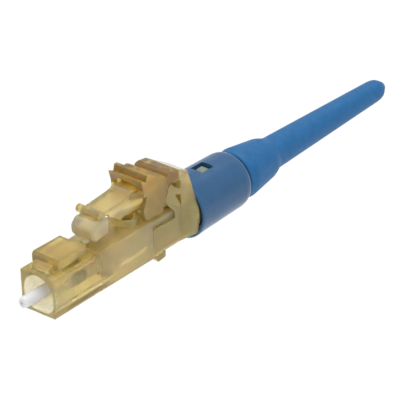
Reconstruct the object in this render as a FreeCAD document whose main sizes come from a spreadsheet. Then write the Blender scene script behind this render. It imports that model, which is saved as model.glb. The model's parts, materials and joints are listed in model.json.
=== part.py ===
import FreeCAD, Part
import math
import os
import Sketcher

# LC fibre connector, field-fitted type with a mechanical splice.
# Millimetres. Origin: centre of the front face of the square nose, on the
# ferrule axis. -Y is the mating direction, +Y runs back to the boot, +Z is the
# latch side.

V = FreeCAD.Vector
doc = FreeCAD.newDocument("lc_fibre_connector")

# ---------------------------------------------------------------- dimensions
DIMS = [
    # square front housing
    ("nose_side", 4.5, "side of the square nose"),
    ("nose_edge", 0.12, "rounding of the long edges"),
    ("shell_end", 15.3, "back of the full-size front shell"),
    ("neck_side", 3.9, "side of the reduced neck under the trigger collar"),
    ("neck_end", 21.4, "back end of the neck"),
    ("mouth_side", 4.0, "side of the front opening"),
    ("mouth_round", 1.2, "lower corners of the front opening"),
    ("mouth_round_top", 1.9, "upper corners of the front opening"),
    ("mouth_depth", 9.0, "depth of the front opening"),
    ("web_thick", 1.0, "stop wall behind the front opening"),
    ("web_hole_d", 2.6, "hole in the stop wall"),
    ("cavity_d", 3.24, "spring cavity"),
    ("sight_d", 2.1, "round sight hole in the top"),
    ("sight_y", 13.6, "place of the sight hole"),
    ("boss_d", 2.84, "raised ring round the sight hole"),
    ("boss_top", 3.05, "top of that ring"),
    # latch arm
    ("latch_y", 1.0, "latch root line, from the front face"),
    ("latch_z", 2.67, "latch root line, above the axis"),
    ("root_r", 0.37, "half thickness of the latch root"),
    ("root_w", 2.3, "width of the latch root"),
    ("wing_w", 3.6, "width over the latch shoulders"),
    ("wing_front", 1.28, "front of the shoulders"),
    ("wing_back", 5.55, "catch face of the shoulders"),
    ("wing_top", 3.74, "top of the shoulders"),
    ("waist_w", 1.6, "width of the arm behind the shoulders"),
    ("hump_w", 3.16, "width of the hump"),
    ("hump_front", 6.84, "front of the hump"),
    ("hump_top", 5.25, "top of the hump"),
    ("hump_back", 9.6, "end of the latch arm"),
    # trigger lever
    ("lever_y", 19.75, "trigger hinge line, from the front face"),
    ("lever_z", 5.6, "trigger hinge line, above the axis"),
    ("knuckle_d", 0.9, "hinge barrel of the trigger"),
    ("knuckle_w", 1.6, "width of the hinge barrel"),
    ("pad_w", 4.5, "width of the thumb pad"),
    ("pad_front", 13.81, "front lip of the thumb pad"),
    ("pad_top", 7.49, "height of the front lip"),
    ("tongue_w", 2.6, "width of the tongue"),
    ("bead_w", 3.1, "width of the tongue's rounded end"),
    ("skirt_wall", 0.42, "side skirts under the thumb pad"),
    ("skirt_back", 18.15, "back of the skirts"),
    ("bead_d", 0.9, "rounded front end of the tongue"),
    ("bead_y", 8.3, "place of the bead"),
    ("bead_z", 5.79, "height of the bead"),
    # trigger collar
    ("collar_side", 4.5, "side of the collar"),
    ("collar_bore", 3.94, "square hole of the collar"),
    ("arm_front", 15.35, "front of the collar's side arms"),
    ("arm_top", 1.07, "top of the collar's side arms"),
    ("ring_front", 18.85, "front of the collar's ring"),
    ("ring_top", 2.5, "top of the collar's ring"),
    ("hood_front", 19.75, "front of the hood"),
    ("hood_top", 6.42, "top of the hood"),
    ("collar_back", 22.0, "back of the collar"),
    # ferrule train
    ("ferrule_d", 1.25, "ferrule diameter"),
    ("ferrule_out", 2.4, "ferrule tip in front of the nose"),
    ("ferrule_seat", 4.2, "front of the ferrule flange"),
    ("ferrule_end", 5.6, "back of the ferrule"),
    ("fibre_d", 0.125, "glass fibre"),
    ("fibre_end", 13.0, "cleaved inner end of the fibre stub"),
    ("flange_af", 2.2, "flange across the flats"),
    ("flange_back", 5.3, "back of the flange's hexagon"),
    ("flange_tail_d", 1.6, "tail of the flange"),
    ("flange_end", 7.8, "back of the flange's tail"),
    ("holder_front", 6.0, "front of the splice holder"),
    ("holder_nose_d", 2.44, "nose of the splice holder"),
    ("holder_stop_d", 3.0, "stop collar of the splice holder"),
    ("holder_stop_back", 11.2, "back of the stop collar"),
    ("holder_tail_d", 2.4, "tail of the splice holder"),
    ("holder_bore_d", 1.64, "bore of the splice holder"),
    ("holder_end", 17.4, "back of the splice holder"),
    ("splice_d", 1.1, "diameter of the splice halves together"),
    ("splice_front", 8.0, "front of the splice halves"),
    ("splice_end", 16.8, "back of the splice halves"),
    ("clamp_d", 1.42, "outside of the clamp sleeve"),
    ("clamp_wall", 0.14, "clamp sleeve wall"),
    ("clamp_front", 9.4, "front of the clamp sleeve"),
    ("clamp_end", 15.6, "back of the clamp sleeve"),
    # spring
    ("wire_d", 0.24, "spring wire"),
    ("spring_mean", 2.82, "spring mean diameter"),
    ("spring_back", 17.9, "seat of the spring on the rear body"),
    ("spring_turns", 7.0, "turns of the spring"),
    # rear body
    ("spigot_d", 3.16, "front tube of the rear body"),
    ("spigot_bore", 2.56, "bore of the front tube"),
    ("web_bore", 1.8, "hole for the fibre guide"),
    ("rear_front", 22.1, "front of the rear body's large tube"),
    ("rear_d", 5.2, "large tube of the rear body"),
    ("rear_bore", 4.0, "bore of the large tube"),
    ("rear_end", 29.3, "back of the rear body"),
    ("guide_d", 1.76, "fibre guide"),
    ("guide_bore", 0.5, "bore of the fibre guide"),
    ("guide_end", 29.0, "back of the fibre guide"),
    ("crimp_d", 1.6, "crimp tube"),
    ("crimp_bore", 1.04, "bore of the crimp tube"),
    ("crimp_end", 33.8, "back of the crimp tube"),
    # rear barrel
    ("barrel_front", 22.05, "front rim of the barrel"),
    ("barrel_d", 6.92, "barrel diameter at the rim"),
    ("barrel_back_d", 6.52, "barrel diameter at the back"),
    ("barrel_bore", 5.3, "bore of the barrel"),
    ("barrel_end", 30.95, "back of the barrel"),
    ("barrel_hole", 3.96, "hole in the back wall"),
    ("window_w", 1.66, "window across"),
    ("window_y", 25.0, "front edge of the window"),
    ("window_len", 1.95, "window along"),
    # boot
    ("boot_front", 31.0, "front shoulder of the boot"),
    ("boot_d", 5.84, "boot at its front shoulder"),
    ("boot_step", 35.8, "back of the thick part of the boot"),
    ("boot_step_d", 4.8, "thick part at its back"),
    ("tail_front", 37.3, "front of the boot's tail"),
    ("tail_d", 3.74, "tail at its front"),
    ("tail_back_d", 2.56, "tail at its back"),
    ("boot_end", 57.65, "back end of the boot"),
    ("boot_bore", 1.0, "bore for the buffered fibre"),
]

sheet = doc.addObject("Spreadsheet::Sheet", "Dims")
VALUE = {}
for row, (alias, size, note) in enumerate(DIMS, start=1):
    sheet.set("A%d" % row, note)
    sheet.set("B%d" % row, "%.6g" % size)
    sheet.setAlias("B%d" % row, alias)
    VALUE[alias] = size
doc.recompute()


class Q:
    """A size: its value and the formula that ties it to the sheet."""

    def __init__(self, val, text):
        self.val = float(val)
        self.text = text

    @staticmethod
    def of(o):
        return o if isinstance(o, Q) else Q(o, "(%.9g)" % o)

    def __add__(self, o):
        o = Q.of(o)
        return Q(self.val + o.val, "(%s + %s)" % (self.text, o.text))

    __radd__ = __add__

    def __sub__(self, o):
        o = Q.of(o)
        return Q(self.val - o.val, "(%s - %s)" % (self.text, o.text))

    def __rsub__(self, o):
        return Q.of(o) - self

    def __mul__(self, o):
        o = Q.of(o)
        return Q(self.val * o.val, "(%s * %s)" % (self.text, o.text))

    __rmul__ = __mul__

    def __truediv__(self, o):
        o = Q.of(o)
        return Q(self.val / o.val, "(%s / %s)" % (self.text, o.text))

    def __neg__(self):
        return Q(-self.val, "(-1 * %s)" % self.text)


def d(alias):
    return Q(VALUE[alias], "Dims." + alias)


# ------------------------------------------------------------------- helpers
def new_body(label):
    b = doc.addObject("PartDesign::Body", label)
    b.Label = label
    b.Placement = FreeCAD.Placement()
    return b


def datum(body, role):
    for f in body.Origin.OriginFeatures:
        if f.Role == role:
            return f
    raise RuntimeError("no plane " + role)


def new_sketch(body, name, role, offset=0.0):
    """Sketch on an origin plane, moved along the plane's own normal.

    XY_Plane: u = X, v = Y, normal +Z.  XZ_Plane: u = X, v = Z, normal -Y.
    YZ_Plane: u = Y, v = Z, normal +X."""
    s = body.newObject("Sketcher::SketchObject", name)
    s.AttachmentSupport = [(datum(body, role), "")]
    s.MapMode = "FlatFace"
    o = Q.of(offset)
    s.AttachmentOffset = FreeCAD.Placement(V(0, 0, o.val), FreeCAD.Rotation())
    s.setExpression("AttachmentOffset.Base.z", o.text)
    return s


def bind(s, con, size):
    i = s.addConstraint(con)
    if size is not None:
        s.setExpression("Constraints[%d]" % i, size.text)
    return i


def fix_point(s, geo, pos, u, v):
    bind(s, Sketcher.Constraint("DistanceX", geo, pos, u.val), u)
    bind(s, Sketcher.Constraint("DistanceY", geo, pos, v.val), v)


def outline(s, verts):
    """Closed polygon; a third entry rounds that corner."""
    pts = [(Q.of(p[0]), Q.of(p[1]), Q.of(p[2]) if len(p) > 2 else None) for p in verts]
    n = len(pts)
    ins, outs, arcs = [], [], []
    for i in range(n):
        u, v, r = pts[i]
        if r is None:
            ins.append((u.val, v.val))
            outs.append((u.val, v.val))
            arcs.append(None)
            continue
        a = pts[i - 1]
        b = pts[(i + 1) % n]
        da = (a[0].val - u.val, a[1].val - v.val)
        db = (b[0].val - u.val, b[1].val - v.val)
        la, lb = math.hypot(*da), math.hypot(*db)
        da = (da[0] / la, da[1] / la)
        db = (db[0] / lb, db[1] / lb)
        cosw = da[0] * db[0] + da[1] * db[1]
        half = math.acos(max(-1.0, min(1.0, cosw))) / 2
        t = r.val / math.tan(half)
        pin = (u.val + da[0] * t, v.val + da[1] * t)
        pout = (u.val + db[0] * t, v.val + db[1] * t)
        bis = (da[0] + db[0], da[1] + db[1])
        lbis = math.hypot(*bis)
        k = r.val / math.sin(half)
        cen = (u.val + bis[0] / lbis * k, v.val + bis[1] / lbis * k)
        left = (-da[0]) * db[1] - (-da[1]) * db[0] > 0  # turns left at this corner
        ins.append(pin)
        outs.append(pout)
        arcs.append((cen, r, left, pin, pout))
    lines = []
    for i in range(n):
        p, q = outs[i], ins[(i + 1) % n]
        lines.append(s.addGeometry(Part.LineSegment(V(p[0], p[1], 0), V(q[0], q[1], 0)), False))
    for i in range(n):
        u, v, r = pts[i]
        prev, nxt = lines[i - 1], lines[i]
        if arcs[i] is None:
            s.addConstraint(Sketcher.Constraint("Coincident", prev, 2, nxt, 1))
            fix_point(s, nxt, 1, u, v)
            continue
        cen, rad, left, pin, pout = arcs[i]
        a0 = math.atan2(pin[1] - cen[1], pin[0] - cen[0])
        a1 = math.atan2(pout[1] - cen[1], pout[0] - cen[0])
        if not left:
            a0, a1 = a1, a0
        while a1 < a0:
            a1 += 2 * math.pi
        arc = s.addGeometry(Part.ArcOfCircle(Part.Circle(V(cen[0], cen[1], 0), V(0, 0, 1), rad.val), a0, a1), False)
        first, last = (1, 2) if left else (2, 1)
        pt = s.addGeometry(Part.Point(V(u.val, v.val, 0)), True)
        fix_point(s, pt, 1, u, v)
        s.addConstraint(Sketcher.Constraint("PointOnObject", pt, 1, prev))
        s.addConstraint(Sketcher.Constraint("PointOnObject", pt, 1, nxt))
        s.addConstraint(Sketcher.Constraint("Tangent", prev, 2, arc, first))
        s.addConstraint(Sketcher.Constraint("Tangent", nxt, 1, arc, last))
        bind(s, Sketcher.Constraint("Radius", arc, rad.val), rad)
    return s


def ring(s, u, v, dia):
    """Full circle by its diameter."""
    u, v, r = Q.of(u), Q.of(v), Q.of(dia) / 2
    g = s.addGeometry(Part.Circle(V(u.val, v.val, 0), V(0, 0, 1), r.val), False)
    if u.val == 0 and v.val == 0:
        s.addConstraint(Sketcher.Constraint("Coincident", g, 3, -1, 1))
    else:
        fix_point(s, g, 3, u, v)
    bind(s, Sketcher.Constraint("Radius", g, r.val), r)
    return s


def volume(body):
    doc.recompute()
    shape = body.Shape
    return 0.0 if shape.isNull() else shape.Volume


def feature(body, kind, name, profile):
    f = body.newObject("PartDesign::" + kind, name)
    f.Profile = (profile, [""])
    return f


def settle(body, f, before, grows):
    after = volume(body)
    if "Invalid" in f.State or "Error" in f.State:
        raise RuntimeError("%s %s failed" % (body.Label, f.Name))
    if grows and after <= before + 1e-6:
        raise RuntimeError("%s %s added nothing" % (body.Label, f.Name))
    if not grows and after >= before - 1e-6:
        raise RuntimeError("%s %s cut nothing" % (body.Label, f.Name))
    return f


def pad(body, name, s, length, reverse=False, both=False):
    before = volume(body)
    f = feature(body, "Pad", name, s)
    length = Q.of(length)
    f.Length = length.val
    f.setExpression("Length", length.text)
    f.Reversed = reverse
    if both:
        f.SideType = "Symmetric"
    return settle(body, f, before, True)


def pocket(body, name, s, length, reverse=False, both=False):
    before = volume(body)
    f = feature(body, "Pocket", name, s)
    length = Q.of(length)
    f.Length = length.val
    f.setExpression("Length", length.text)
    f.Reversed = reverse
    if both:
        f.SideType = "Symmetric"
    return settle(body, f, before, False)


def turn(body, name, s, cut=False):
    """Revolve a YZ profile about the Y axis."""
    before = volume(body)
    f = feature(body, "Groove" if cut else "Revolution", name, s)
    f.ReferenceAxis = (s, ["H_Axis"])
    f.Angle = 360.0
    return settle(body, f, before, not cut)


def edges(body, test):
    """Names of the tip's edges whose both ends and middle pass the test."""
    shape = body.Tip.Shape
    names = []
    for i, e in enumerate(shape.Edges, start=1):
        mid = e.valueAt((e.FirstParameter + e.LastParameter) / 2)
        pts = [v.Point for v in e.Vertexes] + [mid]
        if all(test(p) for p in pts):
            names.append("Edge%d" % i)
    return names


def dress(body, kind, name, test, size):
    doc.recompute()
    names = edges(body, test)
    if not names:
        raise RuntimeError("%s %s found no edge" % (body.Label, name))
    base = body.Tip
    f = body.newObject("PartDesign::" + kind, name)
    f.Base = (base, names)
    key = "Radius" if kind == "Fillet" else "Size"
    size = Q.of(size)
    setattr(f, key, size.val)
    f.setExpression(key, size.text)
    doc.recompute()
    if "Invalid" in f.State or "Error" in f.State:
        raise RuntimeError("%s %s failed" % (body.Label, name))
    return f


def near(a, b, tol=1e-3):
    return abs(a - b) < tol


def box_outline(s, u0, v0, u1, v1, r=None):
    c = [(u0, v0), (u1, v0), (u1, v1), (u0, v1)]
    return outline(s, [p if r is None else p + (r,) for p in c])


half = d("nose_side") / 2
PARTS = []


def keep(body):
    PARTS.append(body)
    return body


# --------------------------------------------------------- connector housing
hb = keep(new_body("connector_housing"))
s = new_sketch(hb, "shell_section", "XZ_Plane")
box_outline(s, -half, -half, half, half, d("nose_edge"))
pad(hb, "shell", s, d("shell_end"), reverse=True)
nk = d("neck_side") / 2
s = new_sketch(hb, "neck_section", "XZ_Plane", -(d("shell_end") - 0.5))
box_outline(s, -nk, -nk, nk, nk, d("nose_edge"))
pad(hb, "neck", s, d("neck_end") - d("shell_end") + 0.5, reverse=True)
# ramp in front of the latch root
s = new_sketch(hb, "root_ramp_side", "YZ_Plane")
outline(s, [(0.12, half - 0.2), (d("latch_y") - d("root_r") - 0.05, half - 0.2),
            (d("latch_y") - d("root_r") - 0.05, d("latch_z") - 0.05), (0.12, half + 0.02)])
pad(hb, "root_ramp", s, d("root_w"), both=True)
# front opening, stop wall and spring cavity
m = d("mouth_side") / 2
s = new_sketch(hb, "mouth_section", "XZ_Plane")
outline(s, [(-m, -m, d("mouth_round")), (m, -m, d("mouth_round")), (m, m, d("mouth_round_top")), (-m, m, d("mouth_round_top"))])
pocket(hb, "mouth", s, d("mouth_depth"), reverse=False)
s = new_sketch(hb, "web_hole_section", "XZ_Plane", -(d("mouth_depth") - 0.5))
ring(s, 0, 0, d("web_hole_d"))
pocket(hb, "web_hole", s, d("web_thick") + 1.0, reverse=False)
s = new_sketch(hb, "cavity_section", "XZ_Plane", -(d("mouth_depth") + d("web_thick")))
ring(s, 0, 0, d("cavity_d"))
pocket(hb, "cavity", s, d("neck_end"), reverse=False)
# raised ring and round sight hole in the top wall
s = new_sketch(hb, "boss_plan", "XY_Plane", half - 0.2)
ring(s, 0, d("sight_y"), d("boss_d"))
pad(hb, "boss", s, d("boss_top") - half + 0.2)
s = new_sketch(hb, "sight_plan", "XY_Plane", d("boss_top") + 0.1)
ring(s, 0, d("sight_y"), d("sight_d"))
pocket(hb, "sight_hole", s, d("boss_top") - 0.2)
dress(hb, "Fillet", "boss_round", lambda p: near(p.z, d("boss_top").val), 0.14)
# snap windows for the rear body, one each side
s = new_sketch(hb, "snap_window_side", "YZ_Plane")
box_outline(s, 19.2, -0.55, 20.3, 0.55)
pocket(hb, "snap_windows", s, d("neck_side") + 0.4, both=True)
# lead-in chamfer round the front opening
dress(hb, "Chamfer", "mouth_lead_in",
      lambda p: near(p.y, 0) and max(abs(p.x), abs(p.z)) < m.val + 1e-3, 0.08)

# ----------------------------------------------------------------- latch arm
la = keep(new_body("latch_arm"))
ly, lz, lr = d("latch_y"), d("latch_z"), d("root_r")
s = new_sketch(la, "root_side", "YZ_Plane")
ring(s, ly, lz, lr * 2)
pad(la, "root", s, d("root_w"), both=True)
wf, wb, wt = d("wing_front"), d("wing_back"), d("wing_top")
s = new_sketch(la, "strap_side", "YZ_Plane")
outline(s, [(ly, lz - lr + 0.02), (wf + 0.4, lz - 0.12), (wf + 0.4, lz + 0.62), (ly - 0.05, lz + lr - 0.01)])
pad(la, "strap", s, d("root_w"), both=True)
s = new_sketch(la, "wing_side", "YZ_Plane")
outline(s, [(wf, wt - 1.12, 0.12), (wf + 1.9, wt - 1.1), (wb, wt - 0.66), (wb, wt - 0.04, 0.08), (wf + 0.3, wt + 0.06, 0.2), (wf, wt - 0.22, 0.2)])
pad(la, "wings", s, d("wing_w"), both=True)
s = new_sketch(la, "waist_side", "YZ_Plane")
outline(s, [(wb - 0.3, wt - 0.74), (d("hump_front") + 0.6, wt - 0.74), (d("hump_front") + 0.6, wt - 0.24), (wb - 0.3, wt - 0.24)])
pad(la, "waist", s, d("waist_w"), both=True)
hf, ht, hk = d("hump_front"), d("hump_top"), d("hump_back")
s = new_sketch(la, "hump_side", "YZ_Plane")
outline(s, [(hf + 0.62, wt - 0.76, 0.25), (hk - 0.1, wt - 0.42, 0.15), (hk, ht - 0.40, 0.2), (hk - 0.5, ht - 0.02, 0.2),
            (hf + 0.72, ht, 0.6), (hf, ht - 0.72, 0.6), (hf, ht - 1.62, 0.5)])
pad(la, "hump", s, d("hump_w"), both=True)
dress(la, "Fillet", "wing_rounds",
      lambda p: near(abs(p.x), d("wing_w").val / 2) and p.y < wb.val + 0.01 and p.z > wt.val - 0.45 and p.y > wf.val + 0.01, 0.1)
dress(la, "Fillet", "hump_rounds",
      lambda p: near(abs(p.x), d("hump_w").val / 2) and hf.val - 0.01 < p.y < hk.val + 0.01 and p.z > ht.val - 2.0, 0.45)

# ------------------------------------------------------------- trigger lever
tl = keep(new_body("trigger_lever"))
py, pz = d("lever_y"), d("lever_z")
pf, pt = d("pad_front"), d("pad_top")
s = new_sketch(tl, "pad_side", "YZ_Plane")
outline(s, [
    (py - 0.05, pz - 0.40), (py - 0.05, d("hood_top")),
    (pf + 4.75, pt - 0.86, 0.15), (pf + 4.24, pt - 0.90, 0.1), (pf + 3.97, pt - 1.16), (pf + 3.64, pt - 0.83, 0.1),
    (pf + 2.91, pt - 0.40, 0.12), (pf + 2.40, pt - 0.42, 0.1), (pf + 1.35, pt + 0.37, 0.12), (pf + 0.94, pt + 0.38, 0.1),
    (pf + 0.76, pt - 0.31), (pf, pt), (pf + 0.29, pt - 1.17), (pf + 0.85, pt - 1.60), (pf + 2.0, pt - 1.75),
])
pad(tl, "thumb_pad", s, d("pad_w"), both=True)
# flare that widens the tongue to the full width of the pad
s = new_sketch(tl, "flare_plan", "XY_Plane", pt - 1.95)
tw, pw = d("tongue_w") / 2, d("pad_w") / 2
outline(s, [(-tw, pf - 1.3), (tw, pf - 1.3), (tw, pf - 0.9), (tw + 0.35, pf - 0.3), (pw, pf + 0.35), (pw, pf + 1.6),
            (-pw, pf + 1.6), (-pw, pf + 0.35), (-tw - 0.35, pf - 0.3), (-tw, pf - 0.9)])
pad(tl, "flare", s, 0.55)
s = new_sketch(tl, "front_wall_side", "YZ_Plane")
outline(s, [(pf + 0.3, pt - 1.45), (pf + 1.5, pt - 1.75), (pf + 1.5, pt - 0.9), (pf + 0.34, pt - 0.9)])
pad(tl, "front_wall", s, d("pad_w"), both=True)
s = new_sketch(tl, "tongue_side", "YZ_Plane")
outline(s, [
    (pf + 0.6, pt - 1.95), (pf + 0.5, pt - 1.2), (pf - 0.2, pt - 1.16), (pf - 0.7, pt - 1.33), (pf - 1.7, pt - 1.49),
    (pf - 3.4, pt - 1.62), (pf - 4.75, pt - 1.72), (pf - 5.46, pt - 1.82), (pf - 5.46, pt - 2.02), (pf - 4.8, pt - 2.20),
    (pf - 4.0, pt - 2.24), (pf - 2.0, pt - 2.10), (pf - 0.9, pt - 1.98),
])
pad(tl, "tongue", s, d("tongue_w"), both=True)
for side, name in ((1, "right"), (-1, "left")):
    s = new_sketch(tl, "flange_%s_side" % name, "YZ_Plane", (tw - 0.38) * side)
    outline(s, [(pf - 4.08, pt - 1.8), (pf - 4.03, pt - 2.54, 0.12), (pf - 3.5, pt - 2.86), (pf - 2.4, pt - 3.45, 0.5), (pf + 1.5, pt - 3.6), (pf + 1.6, pt - 1.65)])
    pad(tl, "flange_" + name, s, 0.38, reverse=(side < 0))
s = new_sketch(tl, "bead_side", "YZ_Plane")
ring(s, d("bead_y"), d("bead_z"), d("bead_d"))
pad(tl, "bead", s, d("bead_w"), both=True)
# blind recess under the lip
s = new_sketch(tl, "recess_section", "XZ_Plane", -(pf - 0.2))
outline(s, [(-1.35, pt - 1.36, 0.1), (1.35, pt - 1.36, 0.1), (1.25, pt - 0.62, 0.2), (-1.25, pt - 0.62, 0.2)])
pocket(tl, "lip_recess", s, 1.05, reverse=False)
# side skirts
for side, name in ((1, "right"), (-1, "left")):
    s = new_sketch(tl, "skirt_%s_side" % name, "YZ_Plane", (pw - d("skirt_wall")) * side)
    outline(s, [(pf + 0.95, pt - 1.2), (pf + 0.6, pt - 2.6, 0.4), (pf + 0.2, pt - 3.4, 0.3), (pf + 0.5, pt - 4.66, 0.4), (d("skirt_back") - 1.2, pt - 4.85, 0.3),
                (d("skirt_back") - 1.02, pt - 4.09), (d("skirt_back") - 0.17, pt - 2.19), (d("skirt_back") - 0.05, pt - 1.9), (d("skirt_back") - 0.05, pt - 1.5)])
    pad(tl, "skirt_" + name, s, d("skirt_wall"), reverse=(side < 0))
    # inner leaf that runs behind the collar's cheek
    s = new_sketch(tl, "leaf_%s_side" % name, "YZ_Plane", (pw - 0.70) * side)
    outline(s, [(16.2, pt - 4.6), (d("skirt_back") - 0.3, pt - 4.6, 0.2), (d("skirt_back"), pt - 2.2), (d("skirt_back"), pt - 1.6), (16.2, pt - 1.6)])
    pad(tl, "leaf_" + name, s, 0.42, reverse=(side < 0))
# hinge barrel
s = new_sketch(tl, "knuckle_side", "YZ_Plane")
ring(s, py, pz, d("knuckle_d"))
pad(tl, "knuckle", s, d("knuckle_w"), both=True)

# ------------------------------------------------------------ trigger collar
tc = keep(new_body("trigger_collar"))
ch, cb = d("collar_side") / 2, d("collar_bore") / 2
rf, hoodf, back = d("ring_front"), d("hood_front"), d("collar_back")
# front section of the hood; the back section has as many corners
SEC_A = [(2.25, -2.25, 0.5), (2.29, 1.6, 4.0), (2.2, 6.42, 0.3)]
SEC_B = [(2.60, -2.30, 0.7), (3.04, 0.45, 4.0), (1.42, 5.12, 0.5)]


def section(body, name, y, pts):
    s = new_sketch(body, name, "XZ_Plane", -y)
    k = d("collar_side") / 4.5
    right = [(k * u, k * v, r) for u, v, r in pts]
    left = [(k * -u, k * v, r) for u, v, r in reversed(pts)]
    outline(s, right + left)
    return s


sa = section(tc, "hood_front_section", hoodf, SEC_A)
sb = section(tc, "hood_back_section", back, SEC_B)
f = tc.newObject("PartDesign::AdditiveLoft", "hood")
f.Profile = (sa, [""])
f.Sections = [(sb, [""])]
f.Ruled = True
settle(tc, f, 0.0, True)
s = new_sketch(tc, "ring_section", "XZ_Plane", -rf)
outline(s, [(-ch, -ch, 0.5), (ch, -ch, 0.5), (ch, d("ring_top"), 0.45), (-ch, d("ring_top"), 0.45)])
pad(tc, "ring", s, hoodf - rf + 0.2, reverse=True)
s = new_sketch(tc, "arm_section", "XZ_Plane", -d("arm_front"))
outline(s, [(-ch, -ch, 0.5), (ch, -ch, 0.5), (ch, d("arm_top")), (-ch, d("arm_top"))])
pad(tc, "arms", s, rf - d("arm_front") + 0.2, reverse=True)
# snap rib under the arms
s = new_sketch(tc, "rib_side", "YZ_Plane")
outline(s, [(15.4, -ch + 0.15), (17.2, -ch + 0.15), (17.16, -ch - 0.55, 0.1), (16.0, -ch - 0.70, 0.2), (15.42, -ch - 0.02)])
pad(tc, "rib", s, d("collar_side") - 0.1, both=True)
# cheeks that brace the hood
CHEEK = [(rf + 0.03, 2.2), (19.95, 2.2), (19.95, 4.62), (19.6, 4.66), (rf + 0.03, 4.7)]
s = new_sketch(tc, "cheek_side", "YZ_Plane", ch - 0.38)
outline(s, CHEEK)
pad(tc, "cheek_right", s, 0.38)
s = new_sketch(tc, "cheek_side_left", "YZ_Plane", -ch + 0.38)
outline(s, CHEEK)
pad(tc, "cheek_left", s, 0.38, reverse=True)
# thin side plates that run forward beside the trigger
for side, name in ((1, "right"), (-1, "left")):
    s = new_sketch(tc, "plate_%s_side" % name, "YZ_Plane", (ch - 0.2) * side)
    outline(s, [(17.40, 3.47, 0.05), (rf + 0.01, 1.80), (19.95, 1.80), (19.95, 4.9), (18.16, 5.22, 0.08)])
    pad(tc, "plate_" + name, s, 0.2, reverse=(side < 0))
# square hole for the housing's neck
s = new_sketch(tc, "bore_section", "XZ_Plane", -(d("arm_front") - 1.0))
box_outline(s, -cb, -cb, cb, cb, 0.1)
pocket(tc, "bore", s, 12.0, reverse=False)
# hollow of the hood, open to the front
s = new_sketch(tc, "hollow_section", "XZ_Plane", -(hoodf - 0.3))
outline(s, [(-1.55, 2.9, 0.25), (1.55, 2.9, 0.25), (1.45, 4.75, 0.3), (-1.45, 4.75, 0.3)])
pocket(tc, "hood_hollow", s, 1.6, reverse=False)
# seat of the trigger's hinge barrel
s = new_sketch(tc, "knuckle_seat_side", "YZ_Plane")
ring(s, py, pz, d("knuckle_d") + 0.08)
pocket(tc, "knuckle_seat", s, d("knuckle_w") + 0.1, both=True)
# lens-shaped openings under the ends of the hinge
for side, name in ((1, "right"), (-1, "left")):
    s = new_sketch(tc, "lens_%s_side" % name, "YZ_Plane", 1.95 * side)
    outline(s, [(18.32, 5.6), (20.06, 5.05), (19.82, 4.12, 0.05), (18.98, 4.62, 0.8)])
    pocket(tc, "lens_" + name, s, 1.5, both=True)
# three-cornered side openings
s = new_sketch(tc, "side_hole_side", "YZ_Plane")
outline(s, [(18.99, 3.80, 0.06), (19.88, 2.10, 0.06), (19.90, 3.50, 0.06)])
pocket(tc, "side_holes", s, 7.0, both=True)

# ------------------------------------------------------------- ferrule train
fe = keep(new_body("ferrule"))
fr = d("ferrule_d") / 2
tip, seat, fend = -d("ferrule_out"), d("ferrule_seat"), d("ferrule_end")
fb = d("fibre_d") / 2 + 0.0015
s = new_sketch(fe, "ferrule_profile", "YZ_Plane")
outline(s, [(tip, fb), (tip + 0.012, fr - 0.27), (tip + 0.05, fr - 0.16), (tip + 0.17, fr - 0.05), (tip + 0.42, fr),
            (seat, fr), (fend - 0.1, fr - 0.03), (fend, fr - 0.13), (fend, fb + 0.15), (fend - 0.5, fb)])
turn(fe, "ferrule_solid", s)

fl = keep(new_body("ferrule_flange"))
s = new_sketch(fl, "hex_section", "XZ_Plane", -(seat + 0.002))
af = d("flange_af") / 2
c30 = 1.0 / math.cos(math.radians(30))
hexa = [(af * (c30 * math.sin(math.radians(60 * k))), af * (c30 * math.cos(math.radians(60 * k)))) for k in range(6)]
outline(s, hexa)
pad(fl, "hexagon", s, d("flange_back") - seat, reverse=True)
s = new_sketch(fl, "tail_section", "XZ_Plane", -(seat + 0.5))
ring(s, 0, 0, d("flange_tail_d"))
pad(fl, "tail", s, d("flange_end") - seat - 0.5, reverse=True)
# tapered seat that the ferrule is pressed into
s = new_sketch(fl, "seat_taper", "YZ_Plane")
outline(s, [(seat - 0.1, 0.0), (fend, 0.0), (fend, fr - 0.0321), (seat - 0.1, fr + 0.0023)])
turn(fl, "ferrule_seat_hole", s, cut=True)
s = new_sketch(fl, "thin_bore", "XZ_Plane", -seat)
ring(s, 0, 0, 0.5)
pocket(fl, "fibre_hole", s, d("flange_end"), reverse=False)
dress(fl, "Chamfer", "hex_lead",
      lambda p: near(p.y, seat.val + 0.002) and math.hypot(p.x, p.z) > af.val - 0.01, 0.12)

fs = keep(new_body("fibre_stub"))
s = new_sketch(fs, "stub_section", "XZ_Plane", -tip)
ring(s, 0, 0, d("fibre_d"))
pad(fs, "stub", s, d("fibre_end") - tip, reverse=True)

sh = keep(new_body("splice_holder"))
hb2 = d("holder_bore_d") / 2
stop0 = d("mouth_depth") + d("web_thick") + 0.03
s = new_sketch(sh, "holder_profile", "YZ_Plane")
outline(s, [(d("holder_front"), hb2), (d("holder_front"), d("holder_nose_d") / 2 - 0.1), (d("holder_front") + 0.15, d("holder_nose_d") / 2),
            (stop0, d("holder_nose_d") / 2), (stop0, d("holder_stop_d") / 2), (d("holder_stop_back"), d("holder_stop_d") / 2),
            (d("holder_stop_back"), d("holder_tail_d") / 2), (d("holder_end") - 0.2, d("holder_tail_d") / 2),
            (d("holder_end"), d("holder_tail_d") / 2 - 0.15), (d("holder_end"), hb2)])
turn(sh, "holder_solid", s)

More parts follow.
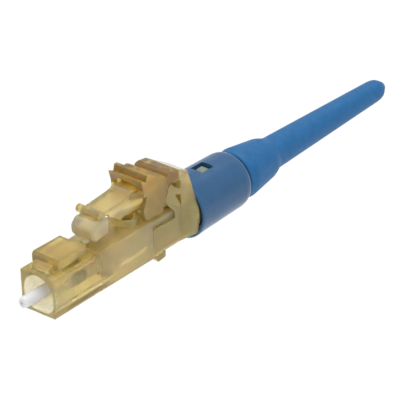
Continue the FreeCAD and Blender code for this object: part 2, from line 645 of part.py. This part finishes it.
# the two splice halves meet on a plane just above the fibre groove
sr = d("splice_d") / 2
for label, upper in (("splice_base", False), ("splice_cover", True)):
    b = keep(new_body(label))
    s = new_sketch(b, label + "_section", "XZ_Plane", -d("splice_front"))
    ring(s, 0, 0, d("splice_d"))
    pad(b, label + "_rod", s, d("splice_end") - d("splice_front"), reverse=True)
    s = new_sketch(b, label + "_split", "XZ_Plane", -(d("splice_front") - 0.1))
    if upper:
        outline(s, [(-1.0, -1.0), (1.0, -1.0), (1.0, 0.006), (-1.0, 0.006)])
    else:
        outline(s, [(-1.0, -0.006), (1.0, -0.006), (1.0, 1.0), (-1.0, 1.0)])
    pocket(b, label + "_half", s, d("splice_end"), reverse=False)
    s = new_sketch(b, label + "_groove", "XZ_Plane", -(d("splice_front") - 0.1))
    g = d("fibre_d") * 0.75
    if upper:
        outline(s, [(-g, 0.0), (g, 0.0), (0.0, g + 0.006)])
    else:
        outline(s, [(-g, 0.0), (0.0, -g - 0.006), (g, 0.0)])
    pocket(b, label + "_vee", s, d("splice_end"), reverse=False)

cl = keep(new_body("splice_clamp"))
s = new_sketch(cl, "clamp_section", "XZ_Plane", -d("clamp_front"))
ring(s, 0, 0, d("clamp_d"))
ring(s, 0, 0, d("clamp_d") - d("clamp_wall") * 2)
pad(cl, "clamp_tube", s, d("clamp_end") - d("clamp_front"), reverse=True)
s = new_sketch(cl, "clamp_slit", "XZ_Plane", -(d("clamp_front") - 0.1))
outline(s, [(-0.25, 0.3), (0.25, 0.3), (0.33, 1.0), (-0.33, 1.0)])
pocket(cl, "slit", s, d("clamp_end"), reverse=False)

# -------------------------------------------------------------------- spring
sp = keep(new_body("ferrule_spring"))
s = new_sketch(sp, "wire_section", "YZ_Plane")
ring(s, d("holder_stop_back") + d("wire_d") / 2 + 0.01, d("spring_mean") / 2, d("wire_d"))
f = sp.newObject("PartDesign::AdditiveHelix", "coils")
f.Profile = (s, [""])
f.ReferenceAxis = (s, ["H_Axis"])
f.Mode = "height-turns-angle"
run = d("spring_back") - d("holder_stop_back") - d("wire_d") - 0.02
f.Height = run.val
f.setExpression("Height", run.text)
f.Turns = VALUE["spring_turns"]
f.setExpression("Turns", "Dims.spring_turns")
f.Angle = 0
f.Growth = 0
f.LeftHanded = False
f.Reversed = False
settle(sp, f, 0.0, True)

# ----------------------------------------------------------------- rear body
rb = keep(new_body("rear_body"))
s = new_sketch(rb, "rear_profile", "YZ_Plane")
r0, r1 = d("spigot_bore") / 2, d("spigot_d") / 2
w0 = d("web_bore") / 2
R0, R1 = d("rear_bore") / 2, d("rear_d") / 2
outline(s, [
    (d("spring_back"), r0), (d("spring_back"), r1 - 0.08), (d("spring_back") + 0.1, r1), (d("neck_end") + 0.04, r1),
    (d("neck_end") + 0.04, 1.9), (d("rear_front"), 1.9), (d("rear_front"), R1 - 0.1), (d("rear_front") + 0.1, R1),
    (d("rear_end"), R1), (d("rear_end"), R0), (d("rear_front") + 0.9, R0), (d("rear_front") + 0.9, w0),
    (d("neck_end"), w0), (d("neck_end"), r0)])
turn(rb, "rear_solid", s)
# snap lugs in the housing's windows
s = new_sketch(rb, "snap_plan", "XY_Plane", -0.45)
outline(s, [(1.45, 19.3), (1.72, 19.3), (1.92, 20.15), (1.92, 20.22), (1.45, 20.22)])
pad(rb, "snap_right", s, 0.9)
s = new_sketch(rb, "snap_plan_left", "XY_Plane", -0.45)
outline(s, [(-1.45, 19.3), (-1.45, 20.22), (-1.92, 20.22), (-1.92, 20.15), (-1.72, 19.3)])
pad(rb, "snap_left", s, 0.9)
# catch that shows in the barrel's window
s = new_sketch(rb, "catch_side", "YZ_Plane")
wy, wl = d("window_y"), d("window_len")
outline(s, [(wy + 0.3, R1 - 0.3), (wy + wl - 0.2, R1 - 0.3), (wy + wl - 0.2, R1 + 0.34, 0.15), (wy + 0.9, R1 + 0.34, 0.2), (wy + 0.3, R1 - 0.02)])
pad(rb, "catch", s, d("window_w") - 0.5, both=True)

fg = keep(new_body("fibre_guide"))
s = new_sketch(fg, "guide_profile", "YZ_Plane")
g0, g1 = d("guide_bore") / 2, d("guide_d") / 2
outline(s, [(18.9, g0 + 0.15), (18.9, g1 - 0.15), (19.1, g1), (20.6, g1), (20.6, r0 - 0.03), (d("neck_end") - 0.05, r0 - 0.03),
            (d("neck_end") - 0.05, g1), (d("guide_end"), g1), (d("guide_end"), g1 - 0.2), (d("guide_end") - 1.3, g0), (19.3, g0)])
turn(fg, "guide_solid", s)

ct = keep(new_body("crimp_tube"))
s = new_sketch(ct, "crimp_profile", "YZ_Plane")
c0, c1 = d("crimp_bore") / 2, d("crimp_d") / 2
outline(s, [(27.5, g1 + 0.01), (27.5, 1.15), (29.5, 1.15), (29.8, c1), (d("crimp_end"), c1), (d("crimp_end"), c0 + 0.1),
            (d("crimp_end") - 0.15, c0), (d("guide_end") + 0.02, c0), (d("guide_end") + 0.02, g1 + 0.01)])
turn(ct, "crimp_solid", s)

# --------------------------------------------------------------- rear barrel
ba = keep(new_body("rear_barrel"))
b0, b1 = d("barrel_front"), d("barrel_end")
br, bk, bb = d("barrel_d") / 2, d("barrel_back_d") / 2, d("barrel_bore") / 2
s = new_sketch(ba, "barrel_profile", "YZ_Plane")
outline(s, [
    (b0, br - 0.22), (b0, br - 0.12), (b0 + 0.12, br - 0.01), (b0 + 0.35, br), (b0 + 1.5, br - 0.06), (b0 + 3.9, br - 0.11),
    (b1 - 1.3, bk), (b1 - 0.86, bk - 0.06), (b1 - 0.5, bk - 0.2), (b1 - 0.22, bk - 0.42), (b1 - 0.06, bk - 0.68), (b1, bk - 0.95),
    (b1, d("barrel_hole") / 2), (b1 - 0.75, d("barrel_hole") / 2), (b1 - 0.75, bb), (b0 + 1.0, bb), (b0 + 0.9, br - 0.22)])
turn(ba, "barrel_solid", s)
s = new_sketch(ba, "window_plan", "XY_Plane", 2.0)
box_outline(s, -d("window_w") / 2, wy, d("window_w") / 2, wy + wl, 0.12)
pocket(ba, "window", s, 3.0, reverse=True)

# ---------------------------------------------------------------------- boot
bt = keep(new_body("boot"))
f0, st, t0, te = d("boot_front"), d("boot_step"), d("tail_front"), d("boot_end")
q0, q1, q2, q3 = d("boot_d") / 2, d("boot_step_d") / 2, d("tail_d") / 2, d("tail_back_d") / 2
h2 = d("barrel_hole") / 2 - 0.04
bo = d("boot_bore") / 2
s = new_sketch(bt, "boot_profile", "YZ_Plane")
outline(s, [
    (29.4, 1.4), (29.4, 2.3), (29.55, 2.42), (30.15, 2.42), (30.15, h2), (f0, h2), (f0, q0 - 0.24), (f0 + 0.12, q0 - 0.14),
    (f0 + 0.95, q0), (f0 + 1.25, q0 - 0.02), (st, q1), (st + 0.4, q1 - 0.11), (st + 0.8, q1 - 0.26), (st + 1.15, q1 - 0.43),
    (t0, q2 + 0.02), (t0 + 0.35, q2 - 0.02),
    (te - 1.75, q3), (te - 1.3, q3 - 0.05), (te - 0.9, q3 - 0.15), (te - 0.5, q3 - 0.37), (te - 0.2, q3 - 0.58), (te, bo + 0.08),
    (te - 0.08, bo), (38.2, bo), (36.4, 1.5), (32.2, 1.6), (31.6, 1.4)])
turn(bt, "boot_solid", s)

# --------------------------------------------------------------------- output
doc.recompute()
bad = []
for o in doc.Objects:
    if "Invalid" in o.State or "Error" in o.State:
        bad.append((o.Name, o.State))
for b in PARTS:
    if b.Shape.isNull() or not b.Shape.isValid() or len(b.Shape.Solids) != 1:
        bad.append((b.Label, "shape", 0 if b.Shape.isNull() else len(b.Shape.Solids)))
if bad:
    raise RuntimeError("not written: %r" % (bad,))
os.makedirs("parts", exist_ok=True)
for b in PARTS:
    b.Shape.exportStep("parts/%s.step" % b.Label)
    bb_ = b.Shape.BoundBox
    print("%-18s vol %8.2f  x %.2f..%.2f y %.2f..%.2f z %.2f..%.2f" % (
        b.Label, b.Shape.Volume, bb_.XMin, bb_.XMax, bb_.YMin, bb_.YMax, bb_.ZMin, bb_.ZMax))
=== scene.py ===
import bpy
import bmesh
import json
import math
import numpy as np
from mathutils import Matrix, Vector


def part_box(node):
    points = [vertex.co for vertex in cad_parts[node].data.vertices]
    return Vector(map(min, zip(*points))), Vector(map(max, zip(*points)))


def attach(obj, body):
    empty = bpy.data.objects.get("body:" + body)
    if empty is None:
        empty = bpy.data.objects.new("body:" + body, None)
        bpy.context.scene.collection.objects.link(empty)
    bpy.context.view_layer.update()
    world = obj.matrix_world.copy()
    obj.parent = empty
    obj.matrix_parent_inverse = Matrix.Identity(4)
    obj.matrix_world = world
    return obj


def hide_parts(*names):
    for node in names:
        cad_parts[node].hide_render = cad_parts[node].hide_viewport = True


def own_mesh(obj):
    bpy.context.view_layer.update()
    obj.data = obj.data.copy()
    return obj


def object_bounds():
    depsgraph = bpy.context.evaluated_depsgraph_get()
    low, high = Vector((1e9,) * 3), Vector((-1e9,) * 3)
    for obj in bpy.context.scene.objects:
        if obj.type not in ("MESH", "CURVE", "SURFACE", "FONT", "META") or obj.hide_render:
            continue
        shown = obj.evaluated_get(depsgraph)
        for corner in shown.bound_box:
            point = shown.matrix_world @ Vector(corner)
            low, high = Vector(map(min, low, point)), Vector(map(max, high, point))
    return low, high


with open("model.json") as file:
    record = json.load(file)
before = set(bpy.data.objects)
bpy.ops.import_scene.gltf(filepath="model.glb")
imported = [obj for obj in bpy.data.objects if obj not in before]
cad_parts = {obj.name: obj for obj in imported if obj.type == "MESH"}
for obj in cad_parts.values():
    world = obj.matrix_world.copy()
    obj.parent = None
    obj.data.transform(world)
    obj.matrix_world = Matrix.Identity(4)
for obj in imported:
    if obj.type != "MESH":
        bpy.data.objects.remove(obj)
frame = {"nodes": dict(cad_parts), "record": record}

lo0, hi0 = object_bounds()
nodes = frame["nodes"]
SC = bpy.context.scene
MM = 0.001


# ---------------------------------------------------------------- materials
class Mat:
    """Small helper round a node material."""

    def __init__(self, name):
        self.m = bpy.data.materials.new(name)
        self.m.use_nodes = True
        self.nt = self.m.node_tree
        self.bsdf = self.nt.nodes["Principled BSDF"]
        self.out = self.nt.nodes["Material Output"]
        self.coord = self.nt.nodes.new("ShaderNodeTexCoord")

    def node(self, kind, **props):
        n = self.nt.nodes.new(kind)
        for k, v in props.items():
            setattr(n, k, v)
        return n

    def link(self, a, b):
        self.nt.links.new(a, b)

    def noise(self, scale, detail=4.0, rough=0.5, stretch=(1, 1, 1)):
        mp = self.node("ShaderNodeMapping")
        mp.inputs["Scale"].default_value = stretch
        self.link(self.coord.outputs["Object"], mp.inputs["Vector"])
        n = self.node("ShaderNodeTexNoise")
        n.inputs["Scale"].default_value = scale
        n.inputs["Detail"].default_value = detail
        n.inputs["Roughness"].default_value = rough
        self.link(mp.outputs["Vector"], n.inputs["Vector"])
        return n.outputs["Fac"]

    def ramp(self, fac, stops):
        r = self.node("ShaderNodeValToRGB")
        while len(r.color_ramp.elements) < len(stops):
            r.color_ramp.elements.new(0.5)
        for e, (p, c) in zip(r.color_ramp.elements, stops):
            e.position = p
            e.color = (*c, 1.0) if len(c) == 3 else c
        self.link(fac, r.inputs["Fac"])
        return r.outputs["Color"]

    def span(self, fac, a, b):
        r = self.node("ShaderNodeMapRange")
        r.inputs["To Min"].default_value = a
        r.inputs["To Max"].default_value = b
        self.link(fac, r.inputs["Value"])
        return r.outputs["Result"]

    def bump(self, fac, strength, distance):
        b = self.node("ShaderNodeBump")
        b.inputs["Strength"].default_value = strength
        b.inputs["Distance"].default_value = distance
        self.link(fac, b.inputs["Height"])
        self.link(b.outputs["Normal"], self.bsdf.inputs["Normal"])

    def set(self, **kw):
        for k, v in kw.items():
            self.bsdf.inputs[k.replace("_", " ")].default_value = v


def opaque(name, dark, light, rough, scale=900.0, bump=0.15, dist=2e-5, **kw):
    m = Mat(name)
    n = m.noise(scale, 5.0, 0.6)
    m.link(m.ramp(n, [(0.3, dark), (0.7, light)]), m.bsdf.inputs["Base Color"])
    m.link(m.span(m.noise(scale * 2.3, 3.0), rough[0], rough[1]), m.bsdf.inputs["Roughness"])
    m.bump(m.noise(scale * 4, 4.0), bump, dist)
    m.set(**kw)
    return m.m


def clear_amber(name, dark, light, clear, rough, coat, tint, density, ior=1.46):
    """Tinted translucent plastic: a cloudy body under a smooth moulded skin."""
    m = Mat(name)
    cloud = m.noise(240.0, 3.0, 0.55)
    m.link(m.ramp(cloud, [(0.32, dark), (0.68, light)]), m.bsdf.inputs["Base Color"])
    m.link(m.span(m.noise(650.0, 3.0), rough[0], rough[1]), m.bsdf.inputs["Roughness"])
    m.set(Transmission_Weight=clear, IOR=ior, Coat_Weight=coat, Coat_Roughness=0.09, Coat_IOR=1.5)
    m.set(Subsurface_Weight=1.0, Subsurface_Radius=(1.0, 0.7, 0.25), Subsurface_Scale=0.0015)
    m.bump(m.noise(420.0, 3.0), 0.10, 3e-5)
    va = m.node("ShaderNodeVolumeAbsorption")
    va.inputs["Color"].default_value = (*tint, 1.0)
    va.inputs["Density"].default_value = density
    m.link(va.outputs["Volume"], m.out.inputs["Volume"])
    return m.m


def zone_amber(name, mask, one, two, tint, density, ior, haze_from=None, painted_shade_from=None):
    """Amber with two finishes: one where the mask is 0, two where it is 1.

    each finish is (dark, light, transmission, roughness low, roughness high);
    from haze_from back along +Y the plastic is rougher and lets less through,
    and from the painted-shade limit back the colour is mixed towards dark brown: painted shade
    """
    m = Mat(name)
    sep = m.node("ShaderNodeSeparateXYZ")
    m.link(m.coord.outputs["Object"], sep.inputs["Vector"])
    k = mask(m, sep)
    mix = m.node("ShaderNodeMix", data_type="RGBA")
    m.link(k, mix.inputs["Factor"])
    m.link(m.ramp(m.noise(240.0, 3.0, 0.55), [(0.32, one[0]), (0.68, one[1])]), mix.inputs["A"])
    m.link(m.ramp(m.noise(300.0, 3.0, 0.55), [(0.32, two[0]), (0.68, two[1])]), mix.inputs["B"])
    base = mix.outputs["Result"]
    # painted shade: behind this Y the colour is mixed 60 % towards dark brown to stand for the shade at the part's
    # rear
    if painted_shade_from is not None:
        deep = m.node("ShaderNodeMix", data_type="RGBA")
        m.link(m.span(step(m, sep.outputs["Y"], painted_shade_from, painted_shade_from + 0.0008), 0.0, 0.6), deep.inputs["Factor"])
        m.link(base, deep.inputs["A"])
        m.link(m.ramp(m.noise(260.0, 3.0, 0.55), [(0.32, (0.42, 0.28, 0.12)), (0.68, (0.52, 0.36, 0.17))]), deep.inputs["B"])
        base = deep.outputs["Result"]
    m.link(base, m.bsdf.inputs["Base Color"])
    grain = m.noise(650.0, 3.0)
    rm = m.node("ShaderNodeMix", data_type="FLOAT")
    m.link(k, rm.inputs["Factor"])
    m.link(m.span(grain, one[3], one[4]), rm.inputs["A"])
    m.link(m.span(grain, two[3], two[4]), rm.inputs["B"])
    rough, clear = rm.outputs["Result"], m.span(k, one[2], two[2])
    if haze_from is not None:
        haze = step(m, sep.outputs["Y"], haze_from, haze_from + 0.003)
        rough = both(m, "ADD", rough, m.span(haze, 0.0, 0.10))
        clear = both(m, "SUBTRACT", clear, m.span(haze, 0.0, 0.17))
    m.link(rough, m.bsdf.inputs["Roughness"])
    m.link(clear, m.bsdf.inputs["Transmission Weight"])
    m.set(IOR=ior, Subsurface_Weight=1.0, Subsurface_Radius=(1.0, 0.7, 0.25), Subsurface_Scale=0.0015)
    m.bump(m.noise(420.0, 3.0), 0.10, 3e-5)
    va = m.node("ShaderNodeVolumeAbsorption")
    va.inputs["Color"].default_value = (*tint, 1.0)
    va.inputs["Density"].default_value = density
    m.link(va.outputs["Volume"], m.out.inputs["Volume"])
    return m.m


def step(m, value, lo, hi):
    r = m.node("ShaderNodeMapRange", interpolation_type="SMOOTHSTEP")
    r.inputs["From Min"].default_value = lo
    r.inputs["From Max"].default_value = hi
    m.link(value, r.inputs["Value"])
    return r.outputs["Result"]


def both(m, op, a, b):
    r = m.node("ShaderNodeMath", operation=op)
    m.link(a, r.inputs[0])
    m.link(b, r.inputs[1])
    return r.outputs["Value"]


def inside_mouth(m, sep):
    """1 on the walls of the front opening, 0 on the outer faces and the rim."""
    ax = m.node("ShaderNodeMath", operation="ABSOLUTE")
    m.link(sep.outputs["X"], ax.inputs[0])
    az = m.node("ShaderNodeMath", operation="ABSOLUTE")
    m.link(sep.outputs["Z"], az.inputs[0])
    far = both(m, "MAXIMUM", ax.outputs["Value"], az.outputs["Value"])
    flip = m.node("ShaderNodeMath", operation="SUBTRACT")
    flip.inputs[0].default_value = 1.0
    m.link(step(m, far, 0.00205, 0.00215), flip.inputs[1])
    deep = m.node("ShaderNodeMath", operation="SUBTRACT")
    deep.inputs[0].default_value = 1.0
    m.link(step(m, sep.outputs["Y"], 0.0022, 0.0040), deep.inputs[1])
    near = both(m, "MULTIPLY", flip.outputs["Value"], step(m, sep.outputs["Y"], 0.00002, 0.0003))
    return both(m, "MULTIPLY", near, deep.outputs["Value"])


TINT = (0.92, 0.83, 0.36)
# the walls of the front opening are painted near white, painted light for the light coming through the thin wall
# there; they are also rougher and less clear
AMBER_SHELL = zone_amber("amber_shell", inside_mouth,
                         ((0.85, 0.71, 0.38), (0.95, 0.83, 0.49), 0.89, 0.05, 0.12),
                         ((0.94, 0.92, 0.87), (0.98, 0.97, 0.94), 0.42, 0.22, 0.32), TINT, 500.0, 1.43, 0.0065)
# painted light and shade on the lever: the front tongue (before 12 mm) is painted paler and is also rougher and less
# clear, the rear is painted darker, and from 17.2 mm back it is darker still as painted shade behind the thumb pad
AMBER_LEVER = zone_amber("amber_lever", lambda m, sep: step(m, sep.outputs["Y"], 0.0150, 0.0120),
                         ((0.74, 0.58, 0.24), (0.86, 0.70, 0.33), 0.82, 0.10, 0.20),
                         ((0.85, 0.71, 0.39), (0.92, 0.80, 0.48), 0.77, 0.18, 0.28), TINT, 860.0, 1.40, painted_shade_from=0.0172)
AMBER_COLLAR = clear_amber("amber_collar", (0.86, 0.69, 0.31), (0.95, 0.81, 0.41), 0.79, (0.10, 0.20), 0.0, TINT, 430.0, 1.42)
AMBER_COLLAR.node_tree.nodes["Principled BSDF"].inputs["Specular IOR Level"].default_value = 0.3

# the latch is clear at its catch block; over the hump it is rougher and less clear (frosted) and painted pale cream, a
# painted highlight for the lit hump
AMBER_LATCH = zone_amber("amber_latch", lambda m, sep: step(m, sep.outputs["Y"], 0.0058, 0.0068),
                         ((0.80, 0.66, 0.32), (0.90, 0.78, 0.42), 0.84, 0.10, 0.20),
                         ((0.88, 0.82, 0.62), (0.95, 0.90, 0.74), 0.72, 0.30, 0.42), TINT, 700.0, 1.43)

MATS = {
    "amber": AMBER_LATCH,
    "zirconia": opaque("zirconia_white", (0.61, 0.61, 0.63), (0.69, 0.69, 0.71), (0.12, 0.25), bump=0.02, Subsurface_Weight=1.0, Subsurface_Radius=(1.0, 1.0, 1.0), Subsurface_Scale=0.0012),
    "nickel": opaque("nickelled_brass", (0.26, 0.25, 0.24), (0.34, 0.33, 0.31), (0.30, 0.42), Metallic=1.0),
    "fibre_glass": opaque("fibre_glass", (0.9, 0.93, 0.95), (0.95, 0.97, 0.98), (0.05, 0.1), bump=0.0, Transmission_Weight=0.9),
    "holder_white": opaque("holder_white", (0.75, 0.74, 0.70), (0.82, 0.81, 0.78), (0.35, 0.5)),
    "splice_clear": opaque("splice_clear", (0.80, 0.82, 0.84), (0.86, 0.88, 0.9), (0.2, 0.3), Transmission_Weight=0.4),
    "spring_steel": opaque("spring_steel", (0.45, 0.45, 0.46), (0.58, 0.58, 0.6), (0.25, 0.4), Metallic=1.0),
    # the ivory rear body is painted dark olive grey: painted shade for its place inside the blue barrel, seen through
    # the window
    "ivory": opaque("rear_ivory_painted_shade", (0.16, 0.19, 0.14), (0.26, 0.29, 0.22), (0.3, 0.45)),
    "tube_metal": opaque("tube_metal", (0.65, 0.65, 0.67), (0.75, 0.75, 0.77), (0.3, 0.45), Metallic=1.0),
    "barrel_blue": opaque("barrel_blue", (0.022, 0.088, 0.20), (0.030, 0.108, 0.235), (0.20, 0.32), scale=500.0, bump=0.05, Specular_IOR_Level=0.38),
    "boot_blue": opaque("boot_blue", (0.010, 0.110, 0.285), (0.016, 0.135, 0.335), (0.45, 0.6), scale=1200.0, bump=0.2, Specular_IOR_Level=0.3),
}
OWN = {"connector_housing": AMBER_SHELL, "trigger_lever": AMBER_LEVER, "trigger_collar": AMBER_COLLAR}
slot_of = {s["node"]: s["material_slot"] for s in frame["record"]["subparts"]}
for name, ob in nodes.items():
    m = OWN.get(name, MATS[slot_of[name]])
    ob.data.materials.clear()
    ob.data.materials.append(m)

# ------------------------------------------------------------------- spring
# the coil is redrawn as a fine tube in a mesh of its own on the connector body
lo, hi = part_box("ferrule_spring")
WIRE, TURNS, SIDES = 0.00024, 7.0, 12
MEAN = (hi.x - lo.x - WIRE) / 2
y0, y1 = lo.y + WIRE / 2, hi.y - WIRE / 2
bm = bmesh.new()
rings = []
STEPS = 260
for i in range(STEPS + 1):
    t = i / STEPS
    a = 2 * math.pi * TURNS * t
    c = Vector((MEAN * math.sin(a), y0 + (y1 - y0) * t, MEAN * math.cos(a)))
    out = Vector((math.sin(a), 0, math.cos(a)))
    ring = []
    for k in range(SIDES):
        b = 2 * math.pi * k / SIDES
        ring.append(bm.verts.new(c + out * (math.cos(b) * WIRE / 2) + Vector((0, math.sin(b) * WIRE / 2, 0))))
    rings.append(ring)
for r0, r1 in zip(rings, rings[1:]):
    for k in range(SIDES):
        bm.faces.new((r0[k], r0[(k + 1) % SIDES], r1[(k + 1) % SIDES], r1[k]))
bm.faces.new(list(reversed(rings[0])))
bm.faces.new(rings[-1])
bmesh.ops.recalc_face_normals(bm, faces=bm.faces)
for f in bm.faces:
    f.smooth = True
me = bpy.data.meshes.new("spring_coils")
bm.to_mesh(me)
bm.free()
coils = bpy.data.objects.new("spring_coils", me)
SC.collection.objects.link(coils)
me.materials.append(MATS["spring_steel"])
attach(coils, "connector")
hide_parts("ferrule_spring")
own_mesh(coils)

# -------------------------------------------------------------------- stage
me = bpy.data.meshes.new("floor")
bm = bmesh.new()
bmesh.ops.create_grid(bm, x_segments=2, y_segments=2, size=3.0)
bm.to_mesh(me)
bm.free()
floor = bpy.data.objects.new("floor", me)
SC.collection.objects.link(floor)
floor.location = (0, 0, lo0.z - 0.05)
fm = Mat("floor_pale")
fm.link(fm.ramp(fm.noise(3.0, 2.0), [(0.4, (0.84, 0.84, 0.84)), (0.6, (0.86, 0.86, 0.86))]), fm.bsdf.inputs["Base Color"])
fm.link(fm.span(fm.noise(20.0, 2.0), 0.85, 0.95), fm.bsdf.inputs["Roughness"])
me.materials.append(fm.m)

w = bpy.data.worlds.new("studio")
SC.world = w
w.use_nodes = True
w.node_tree.nodes["Background"].inputs["Color"].default_value = (1, 1, 1, 1)
w.node_tree.nodes["Background"].inputs["Strength"].default_value = 0.7


def area(name, loc, target, size, power, size_y=None):
    ld = bpy.data.lights.new(name, "AREA")
    ld.energy = power
    ld.size = size
    if size_y:
        ld.shape = "RECTANGLE"
        ld.size_y = size_y
    ob = bpy.data.objects.new(name, ld)
    SC.collection.objects.link(ob)
    ob.location = loc
    ob.rotation_euler = (Vector(target) - Vector(loc)).to_track_quat("-Z", "Y").to_euler()
    return ob


area("overhead", (-0.10, 0.15, 0.75), (0, 0.02, 0), 0.70, 3.6)
area("strip", (0.35, -0.15, 0.40), (0, 0.02, 0), 0.12, 0.5, 0.5)

# ------------------------------------------------------------------- camera
F_PX = 3000.0000
ROT = ((0.766409824, -0.289984627, 0.573170915),
       (0.641583240, 0.389215160, -0.660970881),
       (-0.031415415, 0.874311429, 0.484347599))
LOC = (0.183609884, -0.186222677, 0.154660501)
cd = bpy.data.cameras.new("camera")
cd.sensor_width = 36.0
cd.lens = F_PX / 400.0 * 36.0
cd.clip_start = 0.01
cd.clip_end = 20.0
cam = bpy.data.objects.new("camera", cd)
SC.collection.objects.link(cam)
M = Matrix(ROT).to_4x4()
M.translation = Vector(LOC)
cam.matrix_world = M
SC.camera = cam
SC.view_settings.view_transform = "Standard"
